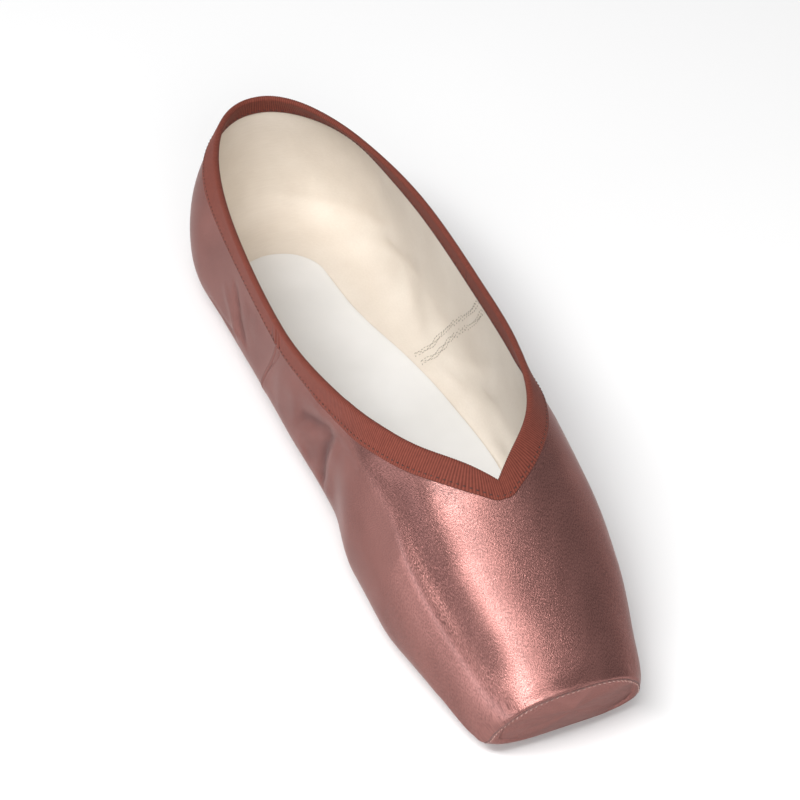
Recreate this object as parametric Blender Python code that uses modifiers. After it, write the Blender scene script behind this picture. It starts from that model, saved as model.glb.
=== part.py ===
"""Soft-block ballet shoe with a satin upper: outsole, insole board, hollow upper, collar binding.

The shoe stands empty on its sole, in metres, +Z up, heel toward +Y and toe platform toward -Y.
Every piece is read from one last: a table of sections along the foot, and functions that turn a
station along the foot and a turn around its section into a point. Tables are in millimetres.
"""
import math

import bmesh
import bpy
import numpy as np
from mathutils import Vector

MM = 0.001
SHOE_LENGTH = 246.0        # back of the heel to the toe platform
HEEL_DEPTH = 39.0          # heel centre to the back of the heel
HEEL_CENTRE_Y = SHOE_LENGTH / 2 - HEEL_DEPTH
TOE = SHOE_LENGTH - HEEL_DEPTH   # station of the toe platform's seam
PLATFORM_DOME = 1.0        # how far the middle of the platform bulges past its seam
HEEL_BACK = -40.0          # station of the heel's back seam
FIT_GAP = 0.3              # air between two pieces that touch

# One row per section of the last. "along" is the distance forward of the heel centre; below
# zero it stands for the quarter turn around the heel, from its side (0) to its back (-40).
# "half" is the greatest half width and "wide_z" its height, "base_half" and "base_z" are the
# flat base, and "roundness" is 2 for an ellipse over the foot and more for a squarer section.
LAST_COLUMNS = ("along", "half", "base_half", "base_z", "wide_z", "roundness")
LAST_ROWS = (
    (HEEL_BACK, HEEL_DEPTH, 22.0, 2.3, 20.0, 2.2),
    (0.0, 32.5, 18.0, 2.3, 20.0, 2.2),
    (30.0, 31.4, 18.0, 2.8, 19.5, 2.2),
    (70.0, 31.5, 20.0, 5.3, 20.0, 2.2),
    (105.0, 30.0, 22.5, 4.3, 20.0, 2.2),
    (130.0, 34.0, 25.0, 2.3, 19.5, 2.2),
    (150.0, 33.8, 25.0, 2.3, 18.0, 2.2),
    (170.0, 31.4, 21.5, 3.6, 16.0, 2.3),
    (190.0, 27.0, 17.0, 4.7, 9.5, 2.4),
    (202.0, 24.0, 13.5, 4.9, 7.0, 2.5),
    (TOE, 20.7, 8.4, 4.3, 11.8, 2.5),
)
# Height of the ridge over the toes. Its first row lies in the throat, where the collar has cut
# the ridge away and only the slope of the sides is left.
RIDGE_ROWS = ((123.0, 71.0), (136.0, 65.5), (150.0, 59.5), (170.0, 46.5), (190.0, 34.7),
              (202.0, 28.6), (TOE, 27.0))

# Collar seen from above: half an oval around the heel, half an ellipse toward the toes, and
# the straight sides of its point. Its height is given up to the first row of the ridge.
COLLAR_WIDEST = 66.0       # station of its greatest half width
COLLAR_HALF = 31.0
COLLAR_BACK = 102.0        # from there to its edge at the back of the heel
COLLAR_OVAL = 2.15         # 2 is an ellipse, more is a blunter heel end
THROAT = 155.5             # station of the collar's point over the instep
THROAT_SPREAD = 1.11       # half width gained per millimetre behind the point
THROAT_BLEND = 6.0         # higher is a sharper change from the ellipse to the point
COLLAR_HALVINGS = 40       # steps in the search for the oval along a section's own direction
COLLAR_Z_ROWS = ((HEEL_BACK, 50.8), (0.0, 51.4), (30.0, 52.2), (70.0, 51.0), (105.0, 55.0),
                 (123.0, 57.0))

CROWN_STEP = 5.0           # spacing of the rows worked out behind the ridge's own
LOWER_ROUNDNESS = 2.6      # the corner where the side wall tucks under
BASE_EDGE_TURN = 180.0     # degrees around the section: 0 ridge, 90 widest, 180 edge of the base
BASE_MIDDLE_TURN = 200.0   # and 200 the middle of the base

SET_BACK = 4.8             # the platform's lower edge lies this far back, per SET_BACK_RISE of height
SET_BACK_RISE = 20.0
SET_BACK_START = 150.0
PLATFORM_TOP = 27.0

WALL_QUARTER = 1.5         # satin, canvas and lining at the heel and sides
WALL_BLOCK = 2.6           # the paste-stiffened block around the toes
WALL_ROWS = ((HEEL_BACK, WALL_QUARTER), (110.0, WALL_QUARTER), (150.0, 2.2), (175.0, WALL_BLOCK),
             (TOE, WALL_BLOCK))

# Opening under the foot, where the upper's edges are turned in and the outsole closes it.
UNDER_ROWS = ((12.0, 7.0), (40.0, 9.5), (100.0, 12.0), (150.0, 12.0), (178.0, 10.0))
UNDER_START, UNDER_END = UNDER_ROWS[0][0], UNDER_ROWS[-1][0]
UNDER_END_ROUND = 8.0

# Outsole: half width of its outline, radial around the heel.
OUTSOLE_ROWS = ((HEEL_BACK, 24.0), (0.0, 19.5), (30.0, 17.0), (70.0, 14.5), (105.0, 18.5),
                (130.0, 23.5), (150.0, 24.0), (167.0, 21.5), (187.0, 17.0))
OUTSOLE_END = OUTSOLE_ROWS[-1][0]
OUTSOLE_END_ROUND = 17.0
OUTSOLE_THICKNESS = 2.0
OUTSOLE_CHAMFER = 0.5
FILL_START, FILL_END = 15.0, 173.0     # raised middle that fills the upper's opening
FILL_SLOPE = 1.0
FILL_MARGIN = 0.5
FLAT_FILL_HALF = 3.0                   # width kept for the middle rows where nothing is raised

# Insole board: half width and how far its middle lies toward -X of the shoe's own middle.
INSOLE_COLUMNS = ("along", "half", "shift")
INSOLE_ROWS = (
    (-13.0, 15.0, 6.0),
    (15.0, 15.5, 5.0),
    (50.0, 19.0, 2.0),
    (75.0, 21.5, 0.8),
    (105.0, 23.5, 0.0),
    (150.0, 23.0, 0.0),
    (176.0, 18.0, 0.0),
)
INSOLE_START, INSOLE_END = INSOLE_ROWS[0][0], INSOLE_ROWS[-1][0]
INSOLE_HEEL_ROUND = 14.0
INSOLE_TOE_ROUND = 16.0
INSOLE_THICKNESS = 1.6

BINDING_OUTSIDE = 6.8      # width of tape showing outside the collar
BINDING_INSIDE = 5.4       # and inside it
BINDING_THICKNESS = 0.6
BINDING_GAP = 0.4
BINDING_TURN = 7.0         # length before the throat over which the tape swings to point forward

# Stations from the heel's side to the throat, shared by the upper and its binding.
QUARTER_STATIONS = (0, 8, 15, 20, 30, 41, 52, 63, 74, 85, 96, 105, 113, 119, 124, 128.5, 133, 137,
                    141, 145, 149, 152.5, THROAT)
HEEL_STEPS = 10
HEEL_CROWDING = 1.4
SECTION_POINTS = 17        # points of the upper's half section from the top to the edge of the base
BASE_POINTS = 3            # and from there to the underside's opening
WELD = 0.00002
NUDGE = 0.25               # step, in millimetres or degrees, over which a slope is taken
SEARCH_STEPS = 8           # and the search for the nearest point of the last
SEARCH_ALONG = 4.0
SEARCH_TURN = 10.0
CREASE = math.radians(40)  # edges sharper than this stay sharp in the shading


class Table:
    """Named columns over stations, read between their rows with a monotone cubic."""

    def __init__(self, names, rows):
        values = np.array(rows, dtype=float).T
        self.along = values[0]
        self.columns = dict(zip(names[1:], values[1:]))
        self.slopes = {name: self.monotone_slopes(column) for name, column in self.columns.items()}

    def monotone_slopes(self, column):
        spans = np.diff(self.along)
        rises = np.diff(column) / spans
        slopes = np.zeros(len(column))
        for i in range(1, len(column) - 1):
            if rises[i - 1] * rises[i] > 0:
                before = 2 * spans[i] + spans[i - 1]
                after = spans[i] + 2 * spans[i - 1]
                slopes[i] = (before + after) / (before / rises[i - 1] + after / rises[i])
        slopes[-1] = rises[-1]
        return slopes

    def at(self, name, along):
        column, slopes = self.columns[name], self.slopes[name]
        along = min(max(along, self.along[0]), self.along[-1])
        i = min(int(np.searchsorted(self.along, along, side="right")) - 1, len(column) - 2)
        span = self.along[i + 1] - self.along[i]
        t = (along - self.along[i]) / span
        return float(column[i] * (1 + 2 * t) * (1 - t) ** 2 + column[i + 1] * t * t * (3 - 2 * t)
                     + span * (slopes[i] * t * (1 - t) ** 2 - slopes[i + 1] * t * t * (1 - t)))


LAST = Table(LAST_COLUMNS, LAST_ROWS)
COLLAR_Z = Table(("along", "height"), COLLAR_Z_ROWS)
WALL = Table(("along", "thickness"), WALL_ROWS)
UNDER = Table(("along", "half"), UNDER_ROWS)
OUTSOLE = Table(("along", "half"), OUTSOLE_ROWS)
INSOLE = Table(INSOLE_COLUMNS, INSOLE_ROWS)


def heel_angle(along):
    """Turn around the heel centre: 0 at the side and beyond, a quarter turn at the back."""
    return max(0.0, along / HEEL_BACK) * math.pi / 2


def half_width(along):
    """Greatest half width; around the heel it is the radius of a quarter ellipse."""
    if along >= 0:
        return LAST.at("half", along)
    angle = heel_angle(along)
    side = LAST.at("half", 0.0)
    return 1 / math.hypot(math.cos(angle) / side, math.sin(angle) / HEEL_DEPTH)


def collar_half(along):
    """Distance of the collar from the shoe's middle, or from the heel centre around the heel."""
    if along < COLLAR_WIDEST:
        angle = heel_angle(along)
        behind = COLLAR_WIDEST - max(along, 0.0)
        inside, outside = 0.0, COLLAR_BACK
        for _ in range(COLLAR_HALVINGS):
            out = (inside + outside) / 2
            x = out * abs(math.cos(angle)) / COLLAR_HALF
            y = (behind + out * math.sin(angle)) / COLLAR_BACK
            if x ** COLLAR_OVAL + y ** COLLAR_OVAL < 1:
                inside = out
            else:
                outside = out
        return inside
    share = (along - COLLAR_WIDEST) / (THROAT - COLLAR_WIDEST)
    ellipse = COLLAR_HALF * math.sqrt(max(0.0, 1 - share * share))
    point = THROAT_SPREAD * (THROAT - along)
    if point <= 0:
        return 0.0
    return (ellipse ** -THROAT_BLEND + point ** -THROAT_BLEND) ** (-1 / THROAT_BLEND)


def collar_turn(along):
    """Turn at which the section is cut for the collar."""
    share = collar_half(along) / half_width(along)
    return math.degrees(math.asin(share ** (LAST.at("roundness", along) / 2)))


def quarter_crown(along):
    """Height at which a quarter's section would close, for its side to pass through the collar."""
    wide_z = LAST.at("wide_z", along)
    reach = math.cos(math.radians(collar_turn(along))) ** (2 / LAST.at("roundness", along))
    return wide_z + (COLLAR_Z.at("height", along) - wide_z) / reach


QUARTER_ROWS = [(along, quarter_crown(along))
                for along in np.arange(HEEL_BACK, RIDGE_ROWS[0][0] - CROWN_STEP / 2, CROWN_STEP)]
CROWN = Table(("along", "height"), QUARTER_ROWS + list(RIDGE_ROWS))


def section(along, turn):
    """Distance from the shoe's middle and height of the upper's outside."""
    half = half_width(along)
    wide_z, base_z = LAST.at("wide_z", along), LAST.at("base_z", along)
    base_half = LAST.at("base_half", along)
    if turn <= 90:
        power = 2 / LAST.at("roundness", along)
        angle = math.radians(turn)
        out = math.copysign(abs(math.sin(angle)) ** power, turn)
        rise = max(0.0, math.cos(angle)) ** power
        return half * out, wide_z + (CROWN.at("height", along) - wide_z) * rise
    if turn <= BASE_EDGE_TURN:
        power = 2 / LOWER_ROUNDNESS
        angle = math.radians(turn - 90)
        out = base_half + (half - base_half) * max(0.0, math.cos(angle)) ** power
        return out, wide_z - (wide_z - base_z) * math.sin(angle) ** power
    middle = (turn - BASE_EDGE_TURN) / (BASE_MIDDLE_TURN - BASE_EDGE_TURN)
    return base_half * (1 - middle), base_z


def lay_out(along, out, height):
    """Point of the shoe, in metres, from a station, a distance from its middle and a height."""
    angle = heel_angle(along)
    x, y = out * math.cos(angle), (out * math.sin(angle) if along < 0 else -along)
    forward = min(max((along - SET_BACK_START) / (TOE - SET_BACK_START), 0.0), 1.0) ** 2
    y += SET_BACK * forward * (PLATFORM_TOP - height) / SET_BACK_RISE
    return Vector((x, y + HEEL_CENTRE_Y, height)) * MM


def skin(along, turn):
    """Point on the outside of the upper."""
    return lay_out(along, *section(along, turn))


def skin_frame(along, turn):
    """Point on the outside, its two tangents per millimetre and per degree, and outward normal."""
    forward = (skin(along + NUDGE, turn) - skin(along - NUDGE, turn)) / (2 * NUDGE)
    around = (skin(along, turn + NUDGE) - skin(along, turn - NUDGE)) / (2 * NUDGE)
    return skin(along, turn), forward, around, forward.cross(around).normalized()


def nearest_skin(along, turn, target):
    """Station and turn of the point of the outside nearest to a target beside a known point."""
    for _ in range(SEARCH_STEPS):
        point, forward, around, _normal = skin_frame(along, turn)
        tangents = np.array([forward, around]).T
        move = np.linalg.lstsq(tangents, np.array(target - point), rcond=None)[0]
        along += float(np.clip(move[0], -SEARCH_ALONG, SEARCH_ALONG))
        turn += float(np.clip(move[1], -SEARCH_TURN, SEARCH_TURN))
    return along, turn


def rounded_end(distance, radius):
    """Share of the full width at a distance from the rounded end of an outline."""
    if distance >= radius:
        return 1.0
    return math.sqrt(max(0.0, 1 - (1 - max(0.0, distance) / radius) ** 2))


def under_half(along):
    """Half width of the opening under the foot; 0 outside it."""
    ends = (rounded_end(along - UNDER_START, UNDER_END_ROUND)
            * rounded_end(UNDER_END - along, UNDER_END_ROUND))
    return UNDER.at("half", along) * ends if UNDER_START < along < UNDER_END else 0.0


def heel_stations():
    """Stations around the heel, closer together toward its back, where the collar bends most."""
    return [HEEL_BACK * (1 - (i / HEEL_STEPS) ** HEEL_CROWDING) for i in range(HEEL_STEPS)]


def new_object(name, bm, material, collection):
    mesh = bpy.data.meshes.new(name)
    bmesh.ops.remove_doubles(bm, verts=bm.verts, dist=WELD)
    bmesh.ops.recalc_face_normals(bm, faces=bm.faces)
    bm.to_mesh(mesh)
    bm.free()
    mesh.materials.append(material)
    mesh.shade_smooth()
    mesh.set_sharp_from_angle(angle=CREASE)
    obj = bpy.data.objects.new(name, mesh)
    collection.objects.link(obj)
    return obj


def loft(bm, rings, closed=False):
    """Faces between neighbouring rows of points; a closed row joins its last point to its first."""
    rows = [[bm.verts.new(point) for point in ring] for ring in rings]
    for row, following in zip(rows, rows[1:]):
        count = len(row)
        for i in range(count if closed else count - 1):
            j = (i + 1) % count
            bm.faces.new((row[i], row[j], following[j], following[i]))


def mirror_across_middle(obj):
    mirror = obj.modifiers.new("Mirror", "MIRROR")
    mirror.use_axis = (True, False, False)
    mirror.use_clip = True
    mirror.merge_threshold = WELD


def make_material(name, colour, roughness):
    material = bpy.data.materials.new(name)
    material.use_nodes = True
    shader = material.node_tree.nodes["Principled BSDF"]
    shader.inputs["Base Color"].default_value = (*colour, 1.0)
    shader.inputs["Roughness"].default_value = roughness
    shader.inputs["Metallic"].default_value = 0.0
    return material


def upper_turns(along):
    """Turns of one half section, from the collar or the ridge to the underside's opening."""
    top = collar_turn(along) if along < THROAT else 0.0
    base_share = under_half(along) / LAST.at("base_half", along)
    end = BASE_MIDDLE_TURN - base_share * (BASE_MIDDLE_TURN - BASE_EDGE_TURN)
    wall = np.linspace(top, BASE_EDGE_TURN, SECTION_POINTS)
    return list(wall) + list(np.linspace(BASE_EDGE_TURN, end, BASE_POINTS + 1)[1:])


def platform_rings():
    """Rows that close the toe platform, shrinking toward its middle as it bulges forward."""
    rim = [skin(TOE, turn) for turn in upper_turns(TOE)]
    middle = (rim[0] + rim[-1]) / 2
    rings = []
    for share in (0.7, 0.35, 0.0):
        bulge = Vector((0, -PLATFORM_DOME * MM * (1 - share * share), 0))
        rings.append([middle + (point - middle) * share + bulge for point in rim])
    return rings


def make_upper(collection):
    """Hollow upper: an open skin with the wall's thickness turned inward."""
    under_ends = [UNDER_START, UNDER_START + 1, 170, 174, 176.5, UNDER_END]
    block = [160, 165, 184, 190, 196, 202, TOE]
    stations = heel_stations() + sorted(list(QUARTER_STATIONS) + under_ends + block)
    bm = bmesh.new()
    rings = [[skin(along, turn) for turn in upper_turns(along)] for along in stations]
    loft(bm, rings + platform_rings())
    upper = new_object("upper", bm, make_material("satin", (0.43, 0.21, 0.18), 0.35), collection)
    wall = upper.vertex_groups.new(name="wall")
    for vertex in upper.data.vertices:
        along = HEEL_CENTRE_Y - vertex.co.y / MM
        wall.add([vertex.index], WALL.at("thickness", along) / WALL_BLOCK, "REPLACE")
    mirror_across_middle(upper)
    solid = upper.modifiers.new("Wall", "SOLIDIFY")
    solid.thickness = WALL_BLOCK * MM
    solid.offset = -1.0
    solid.use_even_offset = True
    solid.vertex_group = wall.name
    return upper


def fill_height(along):
    """Height of the outsole's raised middle over the rest of its top."""
    if FILL_START <= along <= FILL_END:
        return FIT_GAP + WALL.at("thickness", along)
    return 0.0


def make_outsole(collection):
    """Leather outsole with its raised middle; its heel and ball are flat on the ground."""
    steps = [FILL_START - FILL_SLOPE, FILL_START, FILL_END, FILL_END + FILL_SLOPE]
    middles = [6, 22, 30, 41, 52, 63, 74, 85, 96, 106, 115, 123, 131, 140, 150, 156, 163, 170]
    tip = [OUTSOLE_END - OUTSOLE_END_ROUND * share for share in (0.42, 0.22, 0.08, 0.0)]
    bm = bmesh.new()
    rings = []
    for along in heel_stations() + sorted([0] + steps + middles + tip):
        half = OUTSOLE.at("half", along) * rounded_end(OUTSOLE_END - along, OUTSOLE_END_ROUND)
        top = LAST.at("base_z", along) - FIT_GAP
        bottom = top - OUTSOLE_THICKNESS
        chamfer = min(OUTSOLE_CHAMFER, half / 2)
        raised = min(max(under_half(along) - FILL_MARGIN, FLAT_FILL_HALF), half * 0.6)
        slope = min(FIT_GAP, raised / 2)
        profile = ((0.0, bottom), (half - chamfer, bottom), (half, bottom + chamfer), (half, top),
                   (raised, top), (raised - slope, top + fill_height(along)),
                   (0.0, top + fill_height(along)))
        rings.append([lay_out(along, out, height) for out, height in profile])
    loft(bm, rings)
    outsole = new_object("outsole", bm, make_material("sole_leather", (0.55, 0.38, 0.24), 0.6),
                         collection)
    mirror_across_middle(outsole)
    return outsole


def make_insole(collection):
    """White board that lies on the upper's turned-in edges and on the outsole's middle."""
    steps = 26
    span = INSOLE_END - INSOLE_START
    ends = [0.0, 0.4, 1.5, 3.5, 6.5]
    inner = list(np.linspace(10.0, span - 10.0, steps - 10))
    bm = bmesh.new()
    rings = []
    for distance in ends + inner + [span - end for end in reversed(ends)]:
        along = INSOLE_START + distance
        half = (INSOLE.at("half", along) * rounded_end(distance, INSOLE_HEEL_ROUND)
                * rounded_end(span - distance, INSOLE_TOE_ROUND))
        middle = -INSOLE.at("shift", along)
        bottom = LAST.at("base_z", max(along, 0.0)) + WALL.at("thickness", along) + FIT_GAP
        top = bottom + INSOLE_THICKNESS
        ring = []
        for out, height in ((-half, bottom), (-half, top), (0, top), (half, top), (half, bottom),
                            (0, bottom)):
            point = lay_out(max(along, 0.0), middle + out, height)
            point.y += max(0.0, -along) * MM
            ring.append(point)
        rings.append(ring)
    loft(bm, rings, closed=True)
    return new_object("insole", bm, make_material("board", (0.86, 0.86, 0.85), 0.55), collection)


def binding_section(along):
    """Half section of the binding tape: down the outside, over the edge and down the inside."""
    turn = collar_turn(along)
    edge, _forward, _around, normal = skin_frame(along, turn)
    ahead = min(along + NUDGE, THROAT)
    behind = ahead - 2 * NUDGE
    run = skin(ahead, collar_turn(ahead)) - skin(behind, collar_turn(behind))
    down = normal.cross(run).normalized()
    if down.dot(skin_frame(along, turn)[2]) < 0:
        down.negate()
    swing = min(max((along - THROAT) / BINDING_TURN + 1, 0.0), 1.0)
    toe_ward = skin_frame(along, turn)[1].normalized()
    down = down.lerp(toe_ward, swing * swing * (3 - 2 * swing)).normalized()
    wall = WALL.at("thickness", along) * MM
    gap = BINDING_GAP * MM

    def beside(distance, outside):
        target = edge + down * (distance * MM)
        if distance > 0:
            station, around_turn = nearest_skin(along, turn, target)
            target, _f, _a, facing = skin_frame(station, around_turn)
        else:
            facing = normal
        return target + facing * (gap if outside else -(wall + gap))

    over = -down * gap
    points = [beside(distance, True) for distance in (BINDING_OUTSIDE, BINDING_OUTSIDE / 2, 0.0)]
    points.append(edge + over)
    points.append(edge + over - normal * wall)
    points += [beside(distance, False) for distance in (0.0, BINDING_INSIDE / 2, BINDING_INSIDE)]
    if along in (HEEL_BACK, THROAT):
        for point in points:
            point.x = 0.0
    return points


def make_collar_binding(collection):
    """Tape folded over the collar's edge, all round from the heel to the throat."""
    bm = bmesh.new()
    loft(bm, [binding_section(along) for along in heel_stations() + list(QUARTER_STATIONS)])
    binding = new_object("collar_binding", bm, make_material("tape", (0.28, 0.09, 0.06), 0.8),
                         collection)
    mirror_across_middle(binding)
    solid = binding.modifiers.new("Tape", "SOLIDIFY")
    solid.thickness = BINDING_THICKNESS * MM
    solid.offset = 1.0
    solid.use_even_offset = True
    return binding


def main():
    for obj in list(bpy.data.objects):
        bpy.data.objects.remove(obj, do_unlink=True)
    shoe = bpy.data.collections.new("ballet_shoe")
    bpy.context.scene.collection.children.link(shoe)
    make_outsole(shoe)
    make_upper(shoe)
    make_insole(shoe)
    make_collar_binding(shoe)


main()
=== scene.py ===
"""Looks of the soft-block ballet shoe: satin upper, lining, ribbed tape, white board, leather sole.

Sizes are in millimetres, and MM turns them to metres. The shoe's own form is the last that its
solids follow, so every piece here is read from that last at a finer step. A station runs forward
from the heel centre (below zero it turns around the heel), and a turn goes around the section:
0 on the ridge, 90 at the widest, 180 at the edge of the base, 200 under its middle.
"""
import math

import bmesh
import bpy
import numpy as np
from mathutils import Matrix, Vector


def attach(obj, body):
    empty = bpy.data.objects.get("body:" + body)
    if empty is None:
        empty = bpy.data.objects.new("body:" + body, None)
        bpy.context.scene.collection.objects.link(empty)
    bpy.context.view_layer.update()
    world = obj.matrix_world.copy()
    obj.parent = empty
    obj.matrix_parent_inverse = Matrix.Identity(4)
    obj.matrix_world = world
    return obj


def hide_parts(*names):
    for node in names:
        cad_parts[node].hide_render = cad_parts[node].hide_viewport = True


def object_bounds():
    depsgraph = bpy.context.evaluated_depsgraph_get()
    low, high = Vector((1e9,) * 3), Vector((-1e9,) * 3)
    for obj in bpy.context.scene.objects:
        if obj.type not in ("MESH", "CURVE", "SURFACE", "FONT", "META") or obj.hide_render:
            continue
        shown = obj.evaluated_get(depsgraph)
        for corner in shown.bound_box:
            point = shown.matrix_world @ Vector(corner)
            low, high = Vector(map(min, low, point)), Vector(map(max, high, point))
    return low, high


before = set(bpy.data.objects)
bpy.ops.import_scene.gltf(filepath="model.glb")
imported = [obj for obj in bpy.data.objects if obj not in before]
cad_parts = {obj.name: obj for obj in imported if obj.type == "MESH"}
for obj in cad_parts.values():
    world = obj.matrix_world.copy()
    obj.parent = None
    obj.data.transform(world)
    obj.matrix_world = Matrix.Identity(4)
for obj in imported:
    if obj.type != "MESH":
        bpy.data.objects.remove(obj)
cad_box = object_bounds()

# ---------------------------------------------------------------- the last
MM = 0.001
SHOE_LENGTH = float(round((cad_box[1][1] - cad_box[0][1]) / MM))
HEEL_DEPTH = 39.0
HEEL_CENTRE_Y = SHOE_LENGTH / 2 - HEEL_DEPTH
TOE = SHOE_LENGTH - HEEL_DEPTH
HEEL_BACK = -40.0
FIT_GAP = 0.3

LAST_COLUMNS = ("along", "half", "base_half", "base_z", "wide_z", "roundness")
LAST_ROWS = (
    (HEEL_BACK, HEEL_DEPTH, 22.0, 2.3, 20.0, 2.2),
    (0.0, 32.5, 18.0, 2.3, 20.0, 2.2),
    (30.0, 31.4, 18.0, 2.8, 19.5, 2.2),
    (70.0, 31.5, 20.0, 5.3, 20.0, 2.2),
    (105.0, 30.0, 22.5, 4.3, 20.0, 2.2),
    (130.0, 34.0, 25.0, 2.3, 19.5, 2.2),
    (150.0, 33.8, 25.0, 2.3, 18.0, 2.2),
    (170.0, 31.4, 21.5, 3.6, 16.0, 2.3),
    (190.0, 27.0, 17.0, 4.7, 9.5, 2.4),
    (202.0, 24.0, 13.5, 4.9, 7.0, 2.5),
    (TOE, 20.7, 8.4, 4.3, 11.8, 2.5),
)
RIDGE_ROWS = ((125.0, 69.7), (130.0, 67.5), (136.0, 65.2), (150.0, 59.5), (170.0, 46.5),
              (190.0, 34.7), (202.0, 28.6), (TOE, 27.0))
CROWN_STEP = 1.0           # the quarters' crown is worked out this finely up to CROWN_END
CROWN_END = 106.0
CROWN_FEW = (110.0, 115.0, 120.0)

COLLAR_WIDEST = 66.0
COLLAR_HALF = 31.0
COLLAR_BACK = 102.0
COLLAR_OVAL = 2.15
THROAT = 155.5
THROAT_SPREAD = 1.11
THROAT_BLEND = 6.0
COLLAR_HALVINGS = 40
COLLAR_Z_ROWS = ((HEEL_BACK, 50.8), (0.0, 51.4), (30.0, 52.2), (70.0, 51.0), (105.0, 55.0),
                 (115.0, 56.6), (120.0, 57.45), (125.0, 58.3))

LOWER_ROUNDNESS = 2.6
BASE_EDGE_TURN = 180.0
BASE_MIDDLE_TURN = 200.0
SET_BACK = 4.8
SET_BACK_RISE = 20.0
SET_BACK_START = 150.0
PLATFORM_TOP = 27.0

WALL_QUARTER = 1.5
WALL_BLOCK = 2.6
WALL_ROWS = ((HEEL_BACK, WALL_QUARTER), (110.0, WALL_QUARTER), (150.0, 2.2), (175.0, WALL_BLOCK),
             (TOE, WALL_BLOCK))
UNDER_ROWS = ((12.0, 7.0), (40.0, 9.5), (100.0, 12.0), (150.0, 12.0), (178.0, 10.0))
UNDER_START, UNDER_END = UNDER_ROWS[0][0], UNDER_ROWS[-1][0]
UNDER_END_ROUND = 8.0

OUTSOLE_ROWS = ((HEEL_BACK, 24.0), (0.0, 19.5), (30.0, 17.0), (70.0, 14.5), (105.0, 18.5),
                (130.0, 23.5), (150.0, 24.0), (167.0, 21.5), (187.0, 17.0))
OUTSOLE_END = OUTSOLE_ROWS[-1][0]
OUTSOLE_END_ROUND = 17.0
OUTSOLE_THICKNESS = 2.0

INSOLE_COLUMNS = ("along", "half", "shift")
INSOLE_ROWS = ((-13.0, 15.0, 6.0), (15.0, 15.5, 5.0), (50.0, 19.0, 2.0), (75.0, 21.5, 0.8),
               (105.0, 23.5, 0.0), (150.0, 23.0, 0.0), (176.0, 18.0, 0.0))
INSOLE_START, INSOLE_END = INSOLE_ROWS[0][0], INSOLE_ROWS[-1][0]
INSOLE_HEEL_ROUND = 14.0
INSOLE_TOE_ROUND = 16.0
INSOLE_THICKNESS = 1.6

TAPE_OUTSIDE = 6.8
TAPE_INSIDE = 5.4


class Table:
    """Named columns over stations, read between their rows with a monotone cubic."""

    def __init__(self, names, rows):
        values = np.array(rows, dtype=float).T
        self.along = values[0]
        self.spans = np.diff(self.along)
        self.columns = dict(zip(names[1:], values[1:]))
        self.slopes = {name: self.monotone_slopes(column) for name, column in self.columns.items()}

    def monotone_slopes(self, column):
        rises = np.diff(column) / self.spans
        slopes = np.zeros(len(column))
        for i in range(1, len(column) - 1):
            if rises[i - 1] * rises[i] > 0:
                before = 2 * self.spans[i] + self.spans[i - 1]
                after = self.spans[i] + 2 * self.spans[i - 1]
                slopes[i] = (before + after) / (before / rises[i - 1] + after / rises[i])
        slopes[-1] = rises[-1]
        return slopes

    def at(self, name, along):
        column, slopes = self.columns[name], self.slopes[name]
        along = np.clip(along, self.along[0], self.along[-1])
        i = np.clip(np.searchsorted(self.along, along, side="right") - 1, 0, len(column) - 2)
        span = self.spans[i]
        t = (along - self.along[i]) / span
        return (column[i] * (1 + 2 * t) * (1 - t) ** 2 + column[i + 1] * t * t * (3 - 2 * t)
                + span * (slopes[i] * t * (1 - t) ** 2 - slopes[i + 1] * t * t * (1 - t)))


LAST = Table(LAST_COLUMNS, LAST_ROWS)
COLLAR_Z = Table(("along", "height"), COLLAR_Z_ROWS)
WALL = Table(("along", "thickness"), WALL_ROWS)
UNDER = Table(("along", "half"), UNDER_ROWS)
OUTSOLE = Table(("along", "half"), OUTSOLE_ROWS)
INSOLE = Table(INSOLE_COLUMNS, INSOLE_ROWS)


def smooth(low, high, value):
    share = np.clip((value - low) / (high - low), 0.0, 1.0)
    return share * share * (3 - 2 * share)


def heel_angle(along):
    return np.maximum(0.0, along / HEEL_BACK) * math.pi / 2


def half_width(along):
    angle = heel_angle(along)
    side = LAST.at("half", 0.0)
    heel = 1 / np.hypot(np.cos(angle) / side, np.sin(angle) / HEEL_DEPTH)
    return np.where(along >= 0, LAST.at("half", along), heel)


def collar_half(along):
    """Distance of the collar from the shoe's middle, or from the heel centre around the heel."""
    along = np.asarray(along, dtype=float)
    angle = heel_angle(along)
    behind = COLLAR_WIDEST - np.maximum(along, 0.0)
    inside, outside = np.zeros_like(along), np.full_like(along, COLLAR_BACK)
    for _ in range(COLLAR_HALVINGS):
        out = (inside + outside) / 2
        x = out * np.abs(np.cos(angle)) / COLLAR_HALF
        y = np.maximum(behind + out * np.sin(angle), 0.0) / COLLAR_BACK
        within = x ** COLLAR_OVAL + y ** COLLAR_OVAL < 1
        inside, outside = np.where(within, out, inside), np.where(within, outside, out)
    share = (along - COLLAR_WIDEST) / (THROAT - COLLAR_WIDEST)
    ellipse = COLLAR_HALF * np.sqrt(np.maximum(1e-12, 1 - share * share))
    point = np.maximum(THROAT_SPREAD * (THROAT - along), 1e-9)
    forward = (ellipse ** -THROAT_BLEND + point ** -THROAT_BLEND) ** (-1 / THROAT_BLEND)
    return np.where(along < COLLAR_WIDEST, inside, np.where(along < THROAT, forward, 0.0))


def collar_turn(along):
    share = collar_half(along) / half_width(along)
    return np.degrees(np.arcsin(share ** (LAST.at("roundness", along) / 2)))


def quarter_crown(along):
    wide_z = LAST.at("wide_z", along)
    reach = np.cos(np.radians(collar_turn(along))) ** (2 / LAST.at("roundness", along))
    return wide_z + (COLLAR_Z.at("height", along) - wide_z) / reach


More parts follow.
